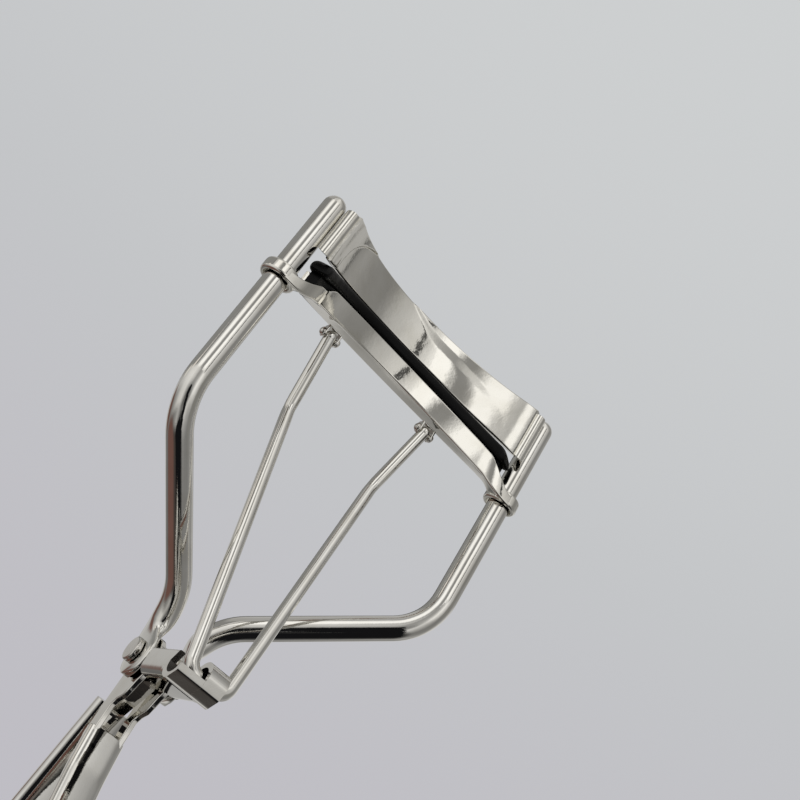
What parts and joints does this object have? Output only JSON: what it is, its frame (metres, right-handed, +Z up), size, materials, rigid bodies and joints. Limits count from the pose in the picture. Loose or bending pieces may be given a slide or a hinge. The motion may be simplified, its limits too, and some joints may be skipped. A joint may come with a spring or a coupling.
{
  "type": "eyelash curler",
  "caption": "Hand-held plated wire and sheet-metal eyelash curler: scissor handles push a bowed lower jaw with a black pad up two side rods against a bowed upper jaw.",
  "frame": {"origin": "centre of the handle pivot, half way across the jaws", "axes": "+Z up the side rods towards the jaws; +X along the jaws, to the user's right when the hollow side of the jaws faces the user; -Y the front, the side the hollow of the jaws and the lever arm face"},
  "size_m": [0.0424, 0.055, 0.1076],
  "materials": {
    "nickel": "bright nickel plate over steel, lightly rippled",
    "pin_steel": "plated steel, satin",
    "pad_rubber": "black silicone rubber, semi-matt"
  },
  "bodies": {
    "frame": {"frame_rod_left": "nickel", "frame_rod_right": "nickel", "upper_jaw": "nickel", "fixed_handle": "nickel", "pivot_rivet": "pin_steel"},
    "lower_jaw": {"lower_jaw_carrier": "nickel", "lash_pad": "pad_rubber", "wire_ear_left": "nickel", "wire_ear_right": "nickel", "ear_pin_left": "pin_steel", "ear_pin_right": "pin_steel"},
    "push_wire": {"push_wire": "nickel"},
    "moving_handle": {"moving_handle": "nickel"}
  },
  "joints": [
    {"name": "handle_pivot", "type": "hinge", "parent": "frame", "child": "moving_handle", "pos_m": [0, 0, 0], "axis": [-1, 0, 0], "range_deg": [-28, 1.3]},
    {"name": "jaw_slide", "type": "slide", "parent": "frame", "child": "lower_jaw", "axis": [0, 0, 1], "range_m": [-0.0061, 0.0003]},
    {"name": "wire_swing", "type": "hinge", "parent": "lower_jaw", "child": "push_wire", "pos_m": [0, -0.00595, 0.03985], "axis": [-1, 0, 0], "range_deg": [-3.2, 0.2]}
  ],
  "couplings": [
    {"joint": "jaw_slide", "follows": "handle_pivot", "m_per_rad": 0.0122},
    {"joint": "wire_swing", "follows": "handle_pivot", "ratio": 0.1}
  ]
}
